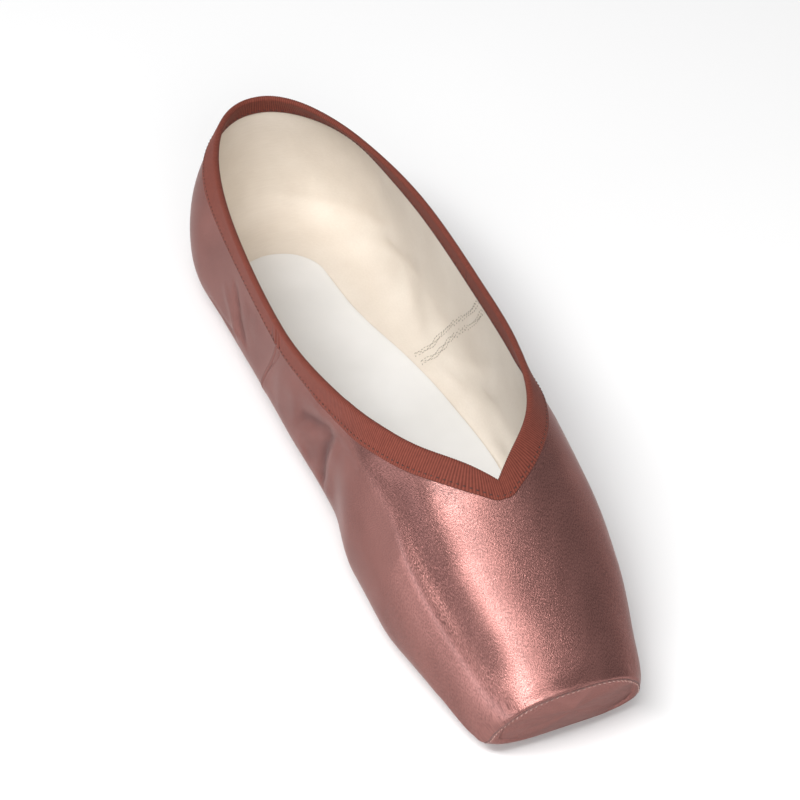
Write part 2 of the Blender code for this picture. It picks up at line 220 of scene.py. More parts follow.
QUARTER_ALONG = np.concatenate([np.arange(HEEL_BACK, CROWN_END, CROWN_STEP), CROWN_FEW])
CROWN = Table(("along", "height"),
              list(zip(QUARTER_ALONG, quarter_crown(QUARTER_ALONG))) + list(RIDGE_ROWS))


def section(along, turn):
    """Distance from the shoe's middle and height of the upper's outside."""
    half = half_width(along)
    wide_z, base_z = LAST.at("wide_z", along), LAST.at("base_z", along)
    base_half = LAST.at("base_half", along)
    power = 2 / LAST.at("roundness", along)
    above = np.radians(np.minimum(turn, 90.0))
    out_above = half * np.sign(turn) * np.abs(np.sin(above)) ** power
    z_above = wide_z + (CROWN.at("height", along) - wide_z) * np.maximum(0, np.cos(above)) ** power
    low = 2 / LOWER_ROUNDNESS
    below = np.radians(np.clip(turn - 90.0, 0.0, 90.0))
    out_below = base_half + (half - base_half) * np.maximum(0, np.cos(below)) ** low
    z_below = wide_z - (wide_z - base_z) * np.maximum(0, np.sin(below)) ** low
    middle = np.maximum(0.0, turn - BASE_EDGE_TURN) / (BASE_MIDDLE_TURN - BASE_EDGE_TURN)
    out = np.where(turn <= 90, out_above,
                   np.where(turn <= BASE_EDGE_TURN, out_below, base_half * (1 - middle)))
    height = np.where(turn <= 90, z_above, np.where(turn <= BASE_EDGE_TURN, z_below, base_z))
    return out, height


def lay_out(along, out, height, side=1.0):
    """Points of the shoe, in millimetres; side is -1 for the half toward -X."""
    angle = heel_angle(along)
    x = side * out * np.cos(angle)
    y = np.where(along < 0, out * np.sin(angle), -along)
    forward = np.clip((along - SET_BACK_START) / (TOE - SET_BACK_START), 0.0, 1.0) ** 2
    y = y + SET_BACK * forward * (PLATFORM_TOP - height) / SET_BACK_RISE
    return np.stack(np.broadcast_arrays(x, y + HEEL_CENTRE_Y, height), -1)


def skin(along, turn, side=1.0):
    along, turn = np.broadcast_arrays(np.asarray(along, float), np.asarray(turn, float))
    return lay_out(along, *section(along, turn), side)


def unit(vectors):
    return vectors / np.maximum(np.linalg.norm(vectors, axis=-1, keepdims=True), 1e-12)


def skin_frame(along, turn, side=1.0, nudge=0.25):
    """Point, tangent per millimetre of station, tangent per degree of turn, outward normal."""
    ahead, behind = np.minimum(along + nudge, TOE), np.maximum(along - nudge, HEEL_BACK)
    run = (ahead - behind)[..., None]
    forward = (skin(ahead, turn, side) - skin(behind, turn, side)) / run
    around = (skin(along, turn + nudge, side) - skin(along, turn - nudge, side)) / (2 * nudge)
    return skin(along, turn, side), forward, around, unit(np.cross(forward, around)) * side


def rounded_end(distance, radius):
    return np.sqrt(np.maximum(0.0, 1 - (1 - np.clip(distance / radius, 0.0, 1.0)) ** 2))


def under_half(along):
    ends = (rounded_end(along - UNDER_START, UNDER_END_ROUND)
            * rounded_end(UNDER_END - along, UNDER_END_ROUND))
    return np.where((along > UNDER_START) & (along < UNDER_END), UNDER.at("half", along) * ends, 0)


# ---------------------------------------------------------------- folds and creases
# A fold is a soft ridge (height above zero) or trough along a short path of the last, given as
# (station, turn) points on the side toward +X (1) or -X (-1). It fades out toward both ends.
OUTER_FOLDS = (
    # side, width, height, path
    (-1, 3.2, 0.60, ((114, 60), (125, 54), (135, 54.5), (142, 52.5), (150, 53), (158, 56),
                     (168, 57), (178, 55.5), (190, 54), (206, 55))),
    (-1, 2.4, 0.75, ((86, 83.5), (94, 79.5), (100, 76.6), (106, 72.6), (112, 66.8), (118, 60.6),
                     (124, 56.2), (132, 54.6), (142, 53.5))),
    (-1, 5.2, -0.75, ((128, 44), (142, 43), (158, 44), (176, 44), (192, 42), (204, 38))),
    (1, 6.0, -0.30, ((140, 48), (160, 46), (180, 42), (200, 40))),
    (-1, 1.9, -1.30, ((80, 89), (86, 86.3), (93, 84), (100, 80.6), (107, 75.5))),
    (-1, 2.1, -1.30, ((109, 73.5), (105.5, 78), (102.5, 83), (100, 87), (98.5, 96), (98, 112))),
    (-1, 2.6, 0.55, ((76, 85), (86, 82.8), (95, 80), (104, 75))),
    (-1, 3.2, 0.70, ((114, 70), (109, 79), (106, 86), (104, 98), (103, 112))),
    (-1, 4.2, -0.60, ((84, 98), (91, 91), (97, 86), (102, 81))),
    (-1, 2.1, -1.00, ((29, 77), (33, 83), (34.5, 86.5), (37, 88.8), (44, 90))),
    (-1, 2.2, 0.50, ((20, 82), (27, 87.5), (30, 90.5), (33, 98))),
    (-1, 1.7, 0.40, ((34, 82), (42, 83.6), (50, 84.4), (61, 85))),
    (-1, 2.0, -0.90, ((4, 110), (13, 113), (23, 108), (32, 97))),
    (-1, 3.4, 0.50, ((64, 92), (71, 86), (79, 84.5), (86, 90))),
    (1, 2.4, -0.70, ((86, 80), (92, 98), (96, 118))),
    (1, 2.6, 0.50, ((93, 78), (99, 94), (102, 114))),
    (1, 2.0, -0.50, ((30, 86), (26, 102), (22, 120))),
    (1, 2.8, 0.35, ((50, 90), (55, 108), (60, 126))),
    (1, 3.0, -0.30, ((8, 90), (4, 110), (0, 126))),
)
LINING_FOLDS = (
    (1, 2.0, 0.90, ((52, 158), (61, 148), (66, 133), (71, 116), (80, 95), (90, 88), (102, 85))),
    (1, 3.0, -0.60, ((66, 112), (73, 94), (84, 87), (96, 84))),
    (1, 3.6, -0.60, ((84, 118), (92, 104), (102, 98), (112, 100))),
    (1, 2.6, 0.60, ((92, 130), (103, 122), (114, 118), (124, 120))),
    (1, 4.0, -0.60, ((42, 84), (47, 87), (50, 98), (54, 120))),
    (1, 4.5, 0.70, ((28, 84), (33, 92), (38, 112), (44, 130), (50, 150))),
    (1, 3.4, -0.50, ((12, 92), (18, 104), (26, 124), (34, 146))),
    (1, 2.6, 1.00, ((-18, 172), (-13, 160), (-7, 132), (5, 100), (25, 86.5), (40, 86), (46, 90),
                    (50, 104))),
    (1, 3.0, -0.60, ((-9, 150), (0, 122), (14, 100), (28, 92), (38, 94))),
    (1, 3.2, -0.60, ((-40, 118), (-32, 127), (-20, 128), (-6, 106), (2, 96))),
    (1, 2.4, 0.60, ((12, 62), (2, 76), (-4, 94), (-10, 112))),
    (1, 2.0, 0.60, ((62, 152), (70, 136), (77, 118), (86, 93), (99, 85))),
    (-1, 4.0, 0.50, ((-34, 104), (-22, 116), (-12, 130))),
    (-1, 3.0, -0.50, ((80, 104), (92, 112), (104, 124))),
    (-1, 3.0, 0.50, ((30, 104), (42, 118), (52, 134))),
)
FOLD_STEPS = 12
FOLD_FADE = 0.25
DEEPEST = 1.3              # no trough goes deeper than this
DEEP_FOLD = 0.95           # the whole wall bends inward under folds deeper than this
BEND = 0.85                # the most that it bends
BEND_TROUGH = 0.5          # depth of trough that bends it three quarters of that
BEND_WIDER = 2.2           # how much wider than the fold the bend is


def fold_relief(points, folds, side, wider=0.0):
    """Height that one side's folds, each made wider, give to points of the shoe."""
    relief = np.zeros(points.shape[:-1])
    for fold_side, width, height, path in folds:
        if fold_side != side:
            continue
        width = width + wider
        rows = np.array(path, dtype=float)
        steps = np.linspace(0, len(rows) - 1, FOLD_STEPS * (len(rows) - 1) + 1)
        along = np.interp(steps, range(len(rows)), rows[:, 0])
        turn = np.interp(steps, range(len(rows)), rows[:, 1])
        line = skin(along, turn, side)
        share = steps / steps[-1]
        fade = smooth(0, FOLD_FADE, share) * smooth(0, FOLD_FADE, 1 - share)
        reach = 3 * width
        low, high = line.min(0) - reach, line.max(0) + reach
        near = np.all((points > low) & (points < high), axis=-1)
        distance = np.linalg.norm(points[near][:, None] - line[None], axis=-1)
        closest = distance.argmin(1)
        gap = distance[np.arange(len(closest)), closest] / width
        relief[near] += height * fade[closest] * np.exp(-gap * gap)
    return relief


def wall_bend(points, side):
    """How far the whole wall bends inward under the deepest troughs outside."""
    deep = [fold for fold in OUTER_FOLDS if fold[2] < -DEEP_FOLD]
    trough = -fold_relief(points, deep, side, BEND_WIDER)
    return BEND * np.tanh(trough / BEND_TROUGH)


# ---------------------------------------------------------------- meshes
def lengths_along(points, axis=0):
    """Lengths along lines of points, each from its first point."""
    steps = np.linalg.norm(np.diff(points, axis=axis), axis=-1)
    start = np.zeros_like(np.take(steps, [0], axis))
    return np.concatenate([start, np.cumsum(steps, axis)], axis)


def in_scene(name, data):
    made = bpy.data.objects.new(name, data)
    bpy.context.scene.collection.objects.link(made)
    return made


def smooth_mesh(name, bm):
    """Mesh in metres, its faces turned outward, from a closed shape in millimetres."""
    bmesh.ops.scale(bm, verts=bm.verts, vec=(MM, MM, MM))
    bmesh.ops.recalc_face_normals(bm, faces=bm.faces)
    mesh = bpy.data.meshes.new(name)
    bm.to_mesh(mesh)
    bm.free()
    mesh.shade_smooth()
    return mesh


# Rows of the upper's grid. Crowding above 1 sets them closer at the heel's back and at the throat.
HEEL_ROWS = 34
HEEL_CROWDING = 1.4
BACK_ROWS = 95
WING_START = 105.0
WING_ROWS = 48
WING_CROWDING = 1.25
VAMP_ROWS = 52


def heel_rows(count):
    return HEEL_BACK * (1 - (np.arange(count) / count) ** HEEL_CROWDING)


def upper_rows(seam_rows=()):
    """Stations of the upper's grid, with the given ones among them."""
    quarter = np.linspace(0.0, WING_START, BACK_ROWS, endpoint=False)
    before_throat = np.linspace(1.0, 0.0, WING_ROWS, endpoint=False) ** WING_CROWDING
    wing = THROAT - (THROAT - WING_START) * before_throat
    vamp = np.linspace(THROAT, TOE, VAMP_ROWS)
    return np.unique(np.concatenate([heel_rows(HEEL_ROWS), quarter, wing, vamp, seam_rows]))


# ---------------------------------------------------------------- finishes
def node(tree, kind, feeds=None, **settings):
    """New node with its settings; feeds gives each input a value or the output that feeds it."""
    made = tree.nodes.new(kind)
    for key, value in settings.items():
        setattr(made, key, value)
    for key, value in (feeds or {}).items():
        if isinstance(value, bpy.types.NodeSocket):
            tree.links.new(value, made.inputs[key])
        else:
            made.inputs[key].default_value = value
    return made


def new_finish(name, roughness, **sockets):
    """Material with its tree and its principled shader, whose sockets are given by name."""
    material = bpy.data.materials.new(name)
    material.use_nodes = True
    shader = material.node_tree.nodes["Principled BSDF"]
    for socket, value in {"Roughness": roughness, **sockets}.items():
        shader.inputs[socket.replace("_", " ")].default_value = value
    return material, material.node_tree, shader


def pattern_place(tree, source="object", scale=(1.0, 1.0, 1.0), turn=0.0):
    """Coordinates of a pattern: the object's or the cloth's own, scaled and turned."""
    if source == "cloth":
        origin = node(tree, "ShaderNodeUVMap", uv_map="cloth").outputs["UV"]
    else:
        origin = node(tree, "ShaderNodeTexCoord").outputs["Object"]
    feeds = {"Vector": origin, "Scale": scale, "Rotation": (0.0, 0.0, turn)}
    return node(tree, "ShaderNodeMapping", feeds).outputs["Vector"]


def cloud(tree, vector, scale, detail=3.0, roughness=0.55):
    feeds = {"Vector": vector, "Scale": scale, "Detail": detail, "Roughness": roughness}
    return node(tree, "ShaderNodeTexNoise", feeds).outputs["Fac"]


def spread(tree, value, low, high, start=0.0, end=1.0):
    """Value mapped from start and end to low and high."""
    feeds = {"Value": value, "From Min": start, "From Max": end, "To Min": low, "To Max": high}
    return node(tree, "ShaderNodeMapRange", feeds).outputs["Result"]


def maths(tree, operation, first, second=0.0):
    feeds = {0: first, 1: second}
    return node(tree, "ShaderNodeMath", feeds, operation=operation).outputs["Value"]


def added(tree, first, first_part, second, second_part):
    """Two patterns added up, each by its part."""
    return maths(tree, "ADD", maths(tree, "MULTIPLY", first, first_part),
                 maths(tree, "MULTIPLY", second, second_part))


def blend_colours(tree, share, dark, light):
    """Colour between two others, each of which is three numbers or another node's output."""
    dark, light = [(*colour, 1.0) if isinstance(colour, tuple) else colour
                   for colour in (dark, light)]
    feeds = {0: share, 6: dark, 7: light}
    return node(tree, "ShaderNodeMix", feeds, data_type="RGBA").outputs[2]


def colour_by(tree, shader, pattern, start, end, dark, light):
    """Colours a finish from dark to light as its pattern goes from start to end."""
    colour = blend_colours(tree, spread(tree, pattern, 0.0, 1.0, start, end), dark, light)
    tree.links.new(colour, shader.inputs["Base Color"])
    return colour


def bump(tree, shader, height, strength, depth=0.1):
    feeds = {"Height": height, "Strength": strength, "Distance": depth * MM}
    tree.links.new(node(tree, "ShaderNodeBump", feeds).outputs["Normal"], shader.inputs["Normal"])


GRAIN_TURN = 0.75
# colour of the painted shade laid into the satin's creases
PAINTED_CREASE_SHADE_COLOUR = (0.070, 0.026, 0.024)


def satin_finish():
    """Glossy satin: a fine diagonal weave, a soft nap, tinted highlights and painted shade in its
    creases.
    """
    material, tree, shader = new_finish("dusty rose-brown satin", 0.35, Metallic=0.85,
                                        Specular_Tint=(0.42, 0.27, 0.25, 1.0), Anisotropic=0.3,
                                        Sheen_Weight=0.04, Sheen_Roughness=0.4,
                                        Coat_Weight=0.28, Coat_Roughness=0.31)
    across = pattern_place(tree, "cloth", (1.0, 2.4, 1.0), GRAIN_TURN)
    weave = cloud(tree, across, 2000.0, 1.0, 0.5)
    nap = cloud(tree, pattern_place(tree, "cloth", turn=GRAIN_TURN), 45.0)
    colour = colour_by(tree, shader, added(tree, weave, 0.75, nap, 0.25), 0.4, 0.6,
                       (0.172, 0.074, 0.066), (0.352, 0.160, 0.142))
    # painted shade: the base colour darkens toward a dark brown where the satin's troughs are deep
    painted_crease_shade = node(tree, "ShaderNodeAttribute", attribute_name="painted_crease_shade").outputs["Fac"]
    shaded = blend_colours(tree, maths(tree, "MULTIPLY", painted_crease_shade, 0.75), colour, PAINTED_CREASE_SHADE_COLOUR)
    tree.links.new(shaded, shader.inputs["Base Color"])
    tree.links.new(spread(tree, weave, 0.27, 0.37), shader.inputs["Roughness"])
    bump(tree, shader, weave, 0.75)
    return material


def lining_finish():
    material, tree, shader = new_finish("cream cotton lining", 0.75, Sheen_Weight=0.15)
    threads = cloud(tree, pattern_place(tree, "cloth", (1.0, 1.4, 1.0)), 1100.0, 2.0)
    soft = cloud(tree, pattern_place(tree), 38.0)
    colour_by(tree, shader, added(tree, threads, 0.25, soft, 0.9), 0.3, 0.8,
              (0.65, 0.575, 0.49), (0.78, 0.715, 0.63))
    bump(tree, shader, threads, 0.2)
    return material


def tape_finish():
    """Ribbed tape, its rib crests painted lighter and its furrows darker, as painted highlight and
    shade.
    """
    material, tree, shader = new_finish("rust ribbed tape", 0.75, Sheen_Weight=0.05,
                                        Specular_IOR_Level=0.2)
    # painted highlight and shade: the colour follows each rib's height, lighter on its crest
    painted_rib_light = node(tree, "ShaderNodeAttribute", attribute_name="rib_height").outputs["Fac"]
    soft = cloud(tree, pattern_place(tree), 900.0)
    colour_by(tree, shader, added(tree, painted_rib_light, 0.7, soft, 0.5), 0.1, 1.0,
              (0.075, 0.015, 0.010), (0.23, 0.057, 0.037))
    bump(tree, shader, soft, 0.2)
    return material


def thread_finish(name, dark, light, roughness=0.6):
    material, tree, shader = new_finish(name, roughness)
    twist = cloud(tree, pattern_place(tree), 1200.0)
    colour_by(tree, shader, twist, 0.3, 0.7, dark, light)
    return material


def board_finish():
    material, tree, shader = new_finish("white coated board", 0.5)
    soft = cloud(tree, pattern_place(tree), 30.0)
    colour_by(tree, shader, soft, 0.3, 0.7, (0.74, 0.735, 0.715), (0.82, 0.815, 0.80))
    bump(tree, shader, cloud(tree, pattern_place(tree), 700.0), 0.15)
    return material


def leather_finish():
    material, tree, shader = new_finish("tan sole leather", 0.8)
    grain = cloud(tree, pattern_place(tree), 600.0, 6.0)
    scuffs = cloud(tree, pattern_place(tree, scale=(1.0, 0.25, 1.0)), 90.0, 5.0, 0.7)
    colour_by(tree, shader, added(tree, grain, 0.4, scuffs, 0.6), 0.35, 0.65,
              (0.40, 0.25, 0.15), (0.60, 0.43, 0.28))
    bump(tree, shader, grain, 0.4, depth=0.3)
    return material


SATIN = satin_finish()
LINING = lining_finish()
TAPE = tape_finish()
BOARD = board_finish()
LEATHER = leather_finish()
TAPE_THREAD = thread_finish("dark rust thread", (0.035, 0.010, 0.008), (0.10, 0.03, 0.02))
SATIN_THREAD = thread_finish("pale rose thread", (0.42, 0.24, 0.20), (0.75, 0.50, 0.44), 0.4)
DARK_THREAD = thread_finish("dark rose thread", (0.10, 0.045, 0.04), (0.2, 0.09, 0.08))
LINING_THREAD = thread_finish("grey lining thread", (0.27, 0.23, 0.19), (0.44, 0.39, 0.33))
SOLE_THREAD = thread_finish("waxed sole thread", (0.45, 0.34, 0.22), (0.62, 0.5, 0.36))


# ---------------------------------------------------------------- stitches and ribs
def new_tree(name, **inputs):
    """Geometry node tree with its named inputs, each given its kind; returns what they give."""
    tree = bpy.data.node_groups.new(name, "GeometryNodeTree")
    tree.interface.new_socket("Geometry", in_out="OUTPUT", socket_type="NodeSocketGeometry")
    for label, kind in {"Geometry": "Geometry", **inputs}.items():
        tree.interface.new_socket(label, in_out="INPUT", socket_type="NodeSocket" + kind)
    return tree, tree.nodes.new("NodeGroupInput").outputs


def end_tree(tree, geometry, material):
    real = node(tree, "GeometryNodeRealizeInstances", {"Geometry": geometry})
    painted = node(tree, "GeometryNodeSetMaterial",
                   {"Geometry": real.outputs["Geometry"], "Material": material})
    node(tree, "NodeGroupOutput", {"Geometry": painted.outputs["Geometry"]})
    return tree


def grown(obj, tree, **values):
    """The object with the plain mesh that a tree makes of it."""
    modifier = obj.modifiers.new(tree.name, "NODES")
    modifier.node_group = tree
    for socket in tree.interface.items_tree:
        if socket.name in values:
            modifier[socket.identifier] = values[socket.name]
    graph = bpy.context.evaluated_depsgraph_get()
    mesh = bpy.data.meshes.new_from_object(obj.evaluated_get(graph), depsgraph=graph)
    obj.modifiers.clear()
    obj.data = mesh
    return obj


def stitch_tree():
    """Stitches at even steps along lines, each a long bead that lies on the surface."""
    tree, given = new_tree("sewn_stitches", Spacing="Float", Length="Float", Width="Float",
                           Thread="Material")
    curve = node(tree, "GeometryNodeMeshToCurve", {"Mesh": given["Geometry"]})
    spots = node(tree, "GeometryNodeCurveToPoints",
                 {"Curve": curve.outputs["Curve"], "Length": given["Spacing"]},
                 mode="LENGTH").outputs
    outward = node(tree, "GeometryNodeInputNamedAttribute", {"Name": "outward"},
                   data_type="FLOAT_VECTOR")
    stand = node(tree, "FunctionNodeAlignRotationToVector",
                 {"Vector": outward.outputs["Attribute"]}, axis="Z")
    lie = node(tree, "FunctionNodeAlignRotationToVector",
               {"Rotation": stand.outputs["Rotation"], "Vector": spots["Tangent"]},
               axis="X", pivot_axis="Z")
    bead = node(tree, "GeometryNodeMeshUVSphere", {"Segments": 8, "Rings": 5, "Radius": 0.5})
    size = node(tree, "ShaderNodeCombineXYZ",
                {"X": given["Length"], "Y": given["Width"], "Z": given["Width"]})
    copies = node(tree, "GeometryNodeInstanceOnPoints",
                  {"Points": spots["Points"], "Instance": bead.outputs["Mesh"],
                   "Rotation": lie.outputs["Rotation"], "Scale": size.outputs["Vector"]})
    return end_tree(tree, copies.outputs["Instances"], given["Thread"])


def rib_tree():
    """Ribs across a tape: its face rises and falls along the tape's run."""
    tree, given = new_tree("tape_ribs", Pitch="Float", Height="Float", Tape="Material")
    run, ribbed = [node(tree, "GeometryNodeInputNamedAttribute", {"Name": name},
                        data_type="FLOAT").outputs["Attribute"]
                   for name in ("tape_run", "tape_ribbed")]
    phase = maths(tree, "MULTIPLY", maths(tree, "DIVIDE", run, given["Pitch"]), 2 * math.pi)
    wave = maths(tree, "MULTIPLY", maths(tree, "SINE", phase), 0.5)
    crest = maths(tree, "MULTIPLY", maths(tree, "ADD", wave, 0.5), ribbed)
    kept = node(tree, "GeometryNodeStoreNamedAttribute",
                {"Geometry": given["Geometry"], "Name": "rib_height", "Value": crest},
                data_type="FLOAT", domain="POINT")
    lift = node(tree, "ShaderNodeVectorMath",
                {0: node(tree, "GeometryNodeInputNormal").outputs["Normal"],
                 "Scale": maths(tree, "MULTIPLY", crest, given["Height"])}, operation="SCALE")
    raised = node(tree, "GeometryNodeSetPosition",
                  {"Geometry": kept.outputs["Geometry"], "Offset": lift.outputs["Vector"]})
    return end_tree(tree, raised.outputs["Geometry"], given["Tape"])


STITCH_TREE = stitch_tree()
RIB_TREE = rib_tree()


def sew(name, lines, spacing, length, width, thread):
    """Piece of stitches along lines, each a pair of points and outward directions."""
    points = np.concatenate([line for line, _facing in lines])
    outward = unit(np.concatenate([facing for _line, facing in lines]))
    edges = []
    start = 0
    for line, _facing in lines:
        edges += [(start + i, start + i + 1) for i in range(len(line) - 1)]
        start += len(line)
    mesh = bpy.data.meshes.new(name)
    mesh.from_pydata((points * MM).tolist(), edges, [])
    mesh.attributes.new("outward", "FLOAT_VECTOR", "POINT")
    mesh.attributes["outward"].data.foreach_set("vector", outward.astype(np.float32).ravel())
    piece = grown(in_scene(name, mesh), STITCH_TREE, Spacing=spacing * MM, Length=length * MM,
                  Width=width * MM, Thread=thread)
    piece.data.shade_smooth()
    return piece


# ---------------------------------------------------------------- upper
EDGE_ROUND = 1.8           # radius where the sides turn over to the platform, low down
SEAM_ROUND = 0.7           # and under the platform's seam, over the top
EDGE_TURNS = (45.0, 85.0)  # turns between which the radius grows
EDGE_BENDS = np.radians([0, 20, 38, 54, 66, 76, 84, 90])
SEAM_DEPTH = 0.35
SEAM_SUNK = (75.0, 45.0)   # turns between which the seam sinks to its depth
SEAM_INSIDE = 0.3          # how far it lies in from the rounded edge, over the top
SEAM_BACK = 3.6            # how far behind the platform it ends, low on each side
SEAM_SLOPE = (45.0, 118.0)   # turns between which it gets there
SEAM_TURN = 124.0          # turn where it ends
PANEL_SHARES = np.array([0.985, 0.965, 0.94, 0.9, 0.84, 0.76, 0.66, 0.54, 0.42, 0.3, 0.18, 0.08,
                         0.0])[:, None]
PANEL_WALL = 1.4
PANEL_NARROWING = 0.06     # how much smaller the panel is on its inner face
PLATFORM_DOME = 1.0
EDGE_WALL = 0.9            # the wall is pressed to this thickness under the tape
PRESSED_TO = 11.0          # and is back at its own this far below the collar's edge
PRESSED_FROM = 2.0
SATIN_SHARE = 0.55         # of the wall; the lining takes the rest
WALL_COLUMNS = 66
BASE_COLUMNS = 9
SEAM_STATIONS = {1: 76.8, -1: 69.0}   # top of each side seam
SEAM_SHARES = {1: 1.0, -1: 0.7}       # how much each takes of the lean toward the heel
SEAM_LEAN = Table(("height", "lean"), ((0.0, -25.6), (8.0, -25.4), (13.0, -24.2), (20.0, -19.2),
                                       (42.0, -2.0), (47.0, 0.0), (75.0, 0.0)))
SEAM_REACH = 42.0
SEAM_ROWS = np.array([-1.6, -1.0, -0.6, -0.4, -0.2, 0.0, 0.2, 0.4, 0.6, 1.0, 1.3, 1.6, 1.9, 2.2,
                      2.5, 2.8, 3.2])
SEAM_SWELL, SWELL_WIDTH = 0.20, 1.8
SEAM_GROOVE, GUSSET_GROOVE, GROOVE_WIDTH = 0.50, 0.35, 0.36
GUSSET_SIDE = -1
GUSSET_WIDTH = 2.4
PLEAT_STATION = 168.0      # the gathers fan out from under this station
PLEAT_TURNS = 9.0
PLEAT_HEIGHT = 0.55
WAVE_HEIGHT = 0.10
PAINTED_SHADE_START = 0.25        # how deep a trough starts to take painted shade, and over what depth
PAINTED_SHADE_DEPTH = 0.9
SHARP_ANGLE = math.radians(50)


def both(make, *values):
    """What a function makes for the half toward +X and for the one toward -X."""
    return [make(side, *values) for side in (1, -1)]


def bell(distance, width):
    return np.exp(-(distance / width) ** 2)


def seam_lean(height, side):
    """Where a side seam lies from its top, at a height; below zero is toward the heel."""
    return SEAM_LEAN.at("lean", height) * SEAM_SHARES[side]


def leaned(along, turn, side, rounds=4):
    """Stations that lean the quarter's grid along its side seam."""
    share = bell(along - SEAM_STATIONS[side], SEAM_REACH)
    found = along
    for _ in range(rounds):
        found = along + share * seam_lean(section(found, turn)[1], side)
    return found


def half_grid(rows, side):
    """Stations and turns of one half of the upper, as grids."""
    top = np.where(rows < THROAT, collar_turn(rows), 0.0)
    base = leaned(rows, BASE_EDGE_TURN, side)
    share = under_half(base) / LAST.at("base_half", base)
    end = BASE_MIDDLE_TURN - share * (BASE_MIDDLE_TURN - BASE_EDGE_TURN)
    wall = top[:, None] + (BASE_EDGE_TURN - top)[:, None] * np.linspace(0, 1, WALL_COLUMNS)
    under = BASE_EDGE_TURN + (end - BASE_EDGE_TURN)[:, None] * np.linspace(0, 1, BASE_COLUMNS)[1:]
    turn = np.concatenate([wall, under], axis=1)
    return leaned(np.broadcast_to(rows[:, None], turn.shape), turn, side), turn


def pleats(points):
    """Gathers that run from the platform's lower edge to the tip of the outsole."""
    x, ahead, z = points[..., 0], HEEL_CENTRE_Y - PLEAT_STATION - points[..., 1], points[..., 2]
    angle = np.arctan2(x, ahead)
    ridges = np.abs(np.sin(angle * PLEAT_TURNS + 0.4 * np.sin(angle * 5.0))) - 0.6
    near_toe = smooth(10, 20, np.hypot(x, ahead)) * smooth(-2, 6, ahead)
    return PLEAT_HEIGHT * ridges * near_toe * smooth(9.5, 5.5, z)


def outer_relief(along, turn, points, side):
    """Height of the satin's folds, pleats, side seam and slight waves over the last."""
    x, y, z = points[..., 0], points[..., 1], points[..., 2]
    relief = fold_relief(points, OUTER_FOLDS, side) + pleats(points)
    across = along - SEAM_STATIONS[side] - seam_lean(z, side)
    seam = SEAM_SWELL * bell(across, SWELL_WIDTH) - SEAM_GROOVE * bell(across, GROOVE_WIDTH)
    if side == GUSSET_SIDE:
        beside = across - GUSSET_WIDTH * smooth(26, 42, z)
        seam = seam - GUSSET_GROOVE * bell(beside, GROOVE_WIDTH) * smooth(26, 30, z)
    relief = relief * smooth(TOE - 1.0, TOE - 9.0, along) + seam * smooth(170, 150, turn)
    waves = np.sin(y / 7.3 + 1.3 * side) * np.sin(z / 6.1 + 0.7) + np.sin(y / 12.7 + x / 8.9)
    relief = relief + WAVE_HEIGHT * waves * smooth(60, 90, turn) * smooth(TOE, 150, along)
    return np.where(relief < 0, DEEPEST * np.tanh(relief / DEEPEST), relief)


def edge_radius(turn):
    return SEAM_ROUND + (EDGE_ROUND - SEAM_ROUND) * smooth(*EDGE_TURNS, turn)


def across_edge(turn, side, distance):
    """Points a distance past the start of the platform's rounded edge, and their facing."""
    radius = edge_radius(turn)
    angle = np.clip(distance / radius, 0.0, math.pi / 2)
    along = TOE - radius * (1 - np.sin(angle)) + np.minimum(distance, 0.0)
    point, forward, _around, normal = skin_frame(along, turn, side)
    point = point - normal * (radius * (1 - np.cos(angle)))[..., None]
    inward = (skin(TOE, 0.0) + skin(TOE, BASE_MIDDLE_TURN)) / 2 - point
    past = np.maximum(distance - radius * math.pi / 2, 0.0)[..., None]
    facing = normal * np.cos(angle)[..., None] + unit(forward) * np.sin(angle)[..., None]
    share = 1 - past[..., 0] / np.linalg.norm(inward, axis=-1)
    point = point + unit(inward) * past
    point[..., 1] -= PLATFORM_DOME * (1 - share ** 2)
    return point, facing


def seam_distance(turn):
    """Where the platform's seam lies past the start of its rounded edge."""
    radius = edge_radius(turn)
    low = smooth(*SEAM_SLOPE, turn)
    return (radius * math.pi / 2 + SEAM_INSIDE) * (1 - low) + (radius - SEAM_BACK) * low


def pressed_wall(along, below):
    """Thickness of the wall at a distance below the collar's edge."""
    wall = WALL.at("thickness", along)
    return EDGE_WALL + (wall - EDGE_WALL) * smooth(PRESSED_FROM, PRESSED_TO, below)


def wall_at(along, point, side):
    """Thickness of the wall under points of the outside."""
    edge = skin(along, np.where(along < THROAT, collar_turn(along), 0.0), side)
    below = np.where(along < THROAT, np.linalg.norm(point - edge, axis=-1), PRESSED_TO)
    return pressed_wall(along, below)


def pinned(grid, turn):
    """The grid, its points under the ridge, under the base and at the heel's back on the middle."""
    grid[(turn <= 0) | (turn >= BASE_MIDDLE_TURN), 0] = 0.0
    grid[0, :, 0] = 0.0
    return grid


